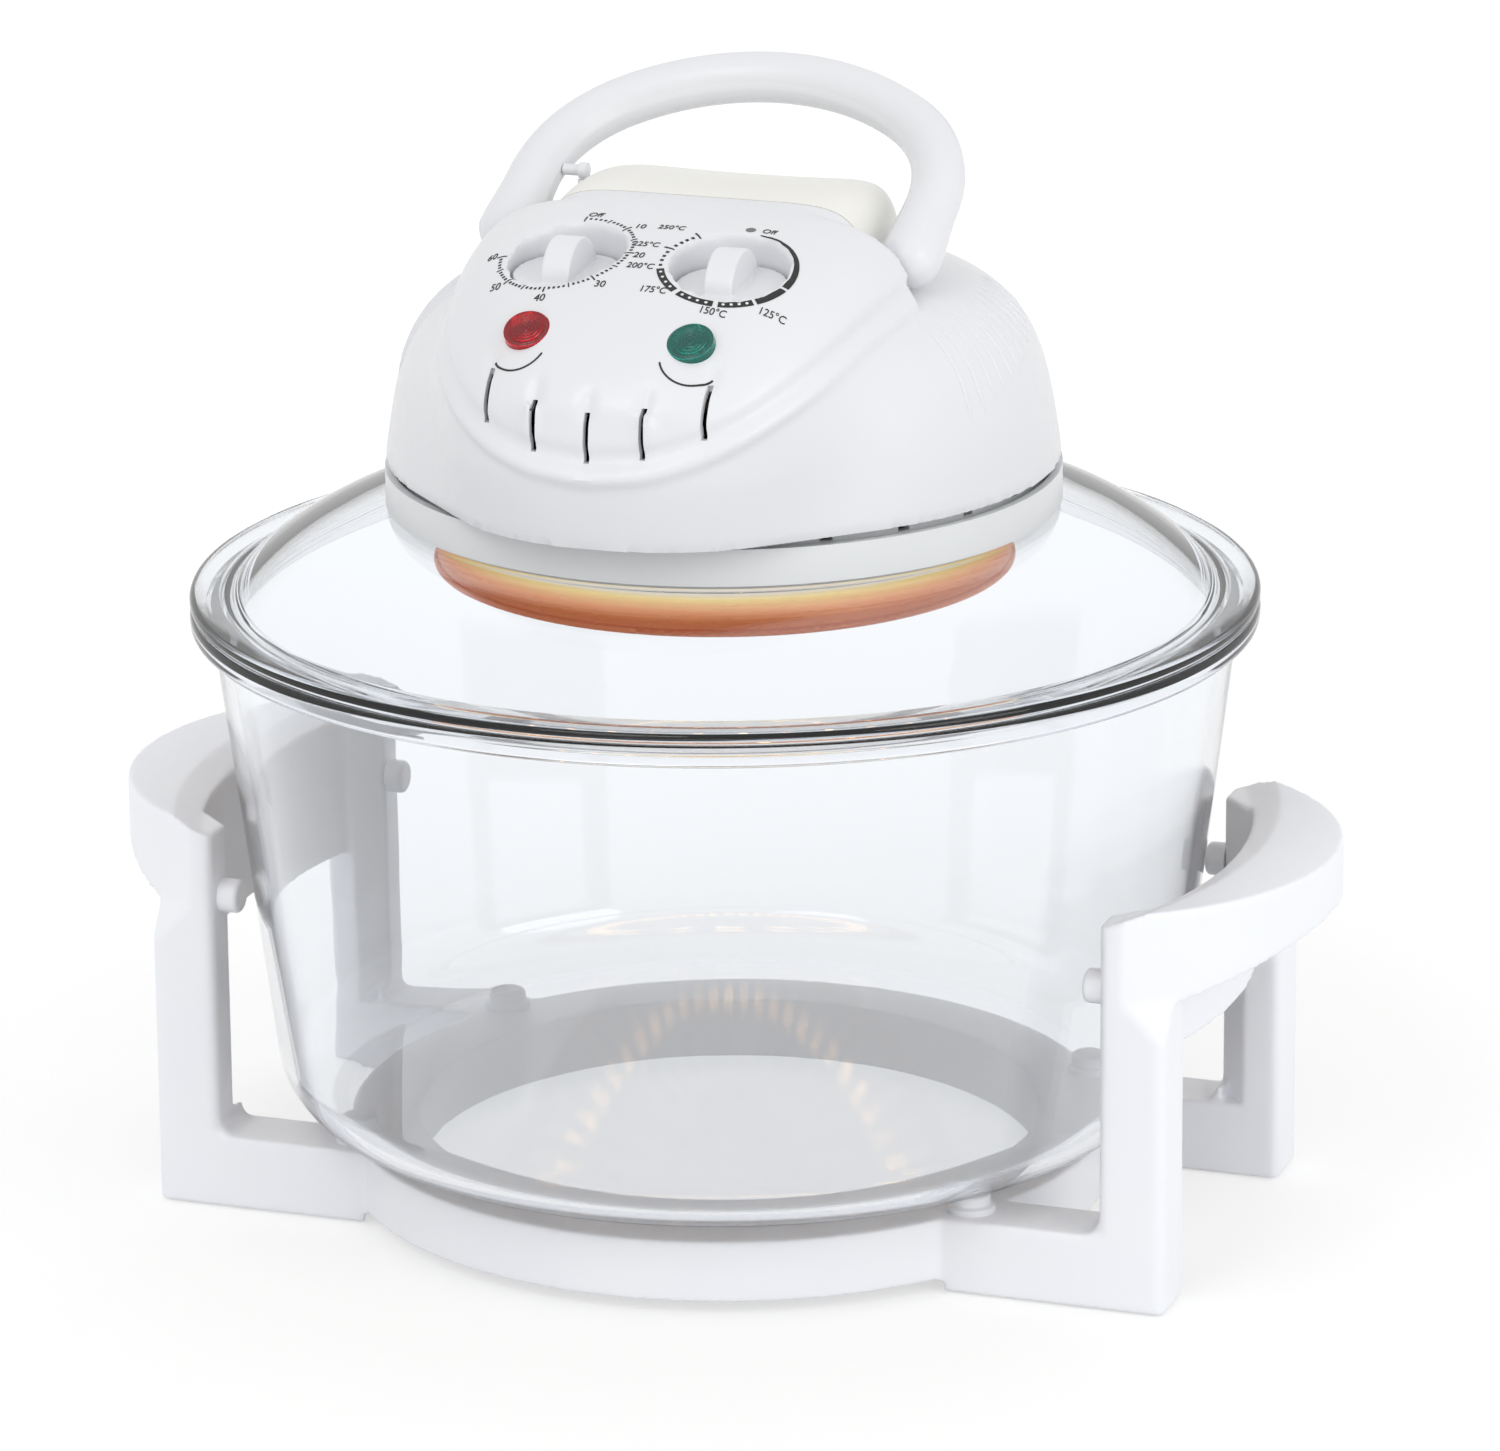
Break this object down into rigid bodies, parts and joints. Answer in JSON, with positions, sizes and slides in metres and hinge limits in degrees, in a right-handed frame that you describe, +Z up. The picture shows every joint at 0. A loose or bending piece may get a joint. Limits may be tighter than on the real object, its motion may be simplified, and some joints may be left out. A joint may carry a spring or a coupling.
{
  "type": "halogen oven",
  "caption": "Round glass bowl oven in a white stand, with a lift-off glass lid that carries a domed heater head with dials, signal lamps and a folding carry handle.",
  "frame": {"origin": "on the table, under the upright axis of the bowl", "axes": "+X towards the grip on the viewer's right when the dials are looked at, -Y towards the dials at the front, +Z up"},
  "size_m": [0.3906, 0.33, 0.3517],
  "materials": {
    "white_plastic": "smooth white, slightly glossy",
    "ring_plastic": "smooth light grey-white",
    "cream_plastic": "smooth cream",
    "well_plastic": "satin light grey",
    "oven_glass": "clear, faintly blue at the edges",
    "red_lens": "clear red, glossy",
    "green_lens": "clear green, glossy",
    "soft_grey": "matt",
    "silicone": "matt, translucent white",
    "bright_steel": "bright rolled sheet",
    "screw_steel": "zinc plated",
    "fan_sheet": "pressed sheet",
    "motor_paint": "dark grey, satin",
    "switch_resin": "black resin",
    "unit_resin": "tan resin",
    "plunger_resin": "white resin",
    "ceramic": "unglazed ceramic",
    "lamp_glass": "quartz, glowing warm white",
    "neon_glass": "clear",
    "copper": "bright copper"
  },
  "bodies": {
    "stand": {"base_frame": "white_plastic", "left_side_frame": "white_plastic", "right_side_frame": "white_plastic", "foot_pads": "soft_grey", "bowl_rest_pegs": "white_plastic", "side_bumpers": "white_plastic", "stand_screws": "screw_steel"},
    "bowl": {"glass_bowl": "oven_glass"},
    "lid": {"glass_lid": "oven_glass", "lid_gasket": "silicone", "lower_housing": "ring_plastic", "upper_housing": "white_plastic", "control_panel": "white_plastic", "rear_cover": "cream_plastic", "dial_wells": "well_plastic", "timer_unit": "switch_resin", "thermostat_unit": "unit_resin", "power_lens": "red_lens", "heat_lens": "green_lens", "indicator_lamps": "neon_glass", "handle_rod": "bright_steel", "rod_brackets": "bright_steel", "microswitch": "switch_resin", "reflector_pan": "bright_steel", "lamp_guard": "bright_steel", "halogen_tube": "lamp_glass", "tube_holders": "ceramic", "sensor_bulb": "copper", "motor_bracket": "bright_steel", "motor_can": "motor_paint", "housing_screws": "screw_steel", "pan_screws": "screw_steel", "cord_gland": "soft_grey"},
    "handle": {"carry_handle": "white_plastic", "safety_peg": "white_plastic"},
    "timer_dial": {"timer_knob": "white_plastic"},
    "temperature_dial": {"temperature_knob": "white_plastic"},
    "fan": {"motor_shaft": "bright_steel", "convection_fan": "fan_sheet", "cooling_fan": "fan_sheet"},
    "plunger": {"switch_plunger": "plunger_resin"}
  },
  "joints": [
    {"name": "bowl_lift", "type": "slide", "parent": "stand", "child": "bowl", "axis": [0, 0, 1], "range_m": [0, 0.12]},
    {"name": "lid_lift", "type": "slide", "parent": "bowl", "child": "lid", "axis": [0, 0, 1], "range_m": [0, 0.15]},
    {"name": "handle_fold", "type": "hinge", "parent": "lid", "child": "handle", "pos_m": [0, -0.012, 0.3065], "axis": [1, 0, 0], "range_deg": [0, 60]},
    {"name": "timer_turn", "type": "hinge", "parent": "lid", "child": "timer_dial", "pos_m": [-0.0257, -0.0645, 0.3132], "axis": [0, -0.1045, 0.9945], "range_deg": [-285, 0]},
    {"name": "temperature_turn", "type": "hinge", "parent": "lid", "child": "temperature_dial", "pos_m": [0.0257, -0.0645, 0.3132], "axis": [0, -0.1045, 0.9945], "range_deg": [-300, 0]},
    {"name": "fan_spin", "type": "hinge", "parent": "lid", "child": "fan", "pos_m": [0, 0, 0.24], "axis": [0, 0, 1], "continuous": true},
    {"name": "plunger_press", "type": "slide", "parent": "lid", "child": "plunger", "axis": [0, 0, -1], "range_m": [0, 0.0015], "stiffness_N_per_m": 300, "springref_m": -0.002}
  ]
}
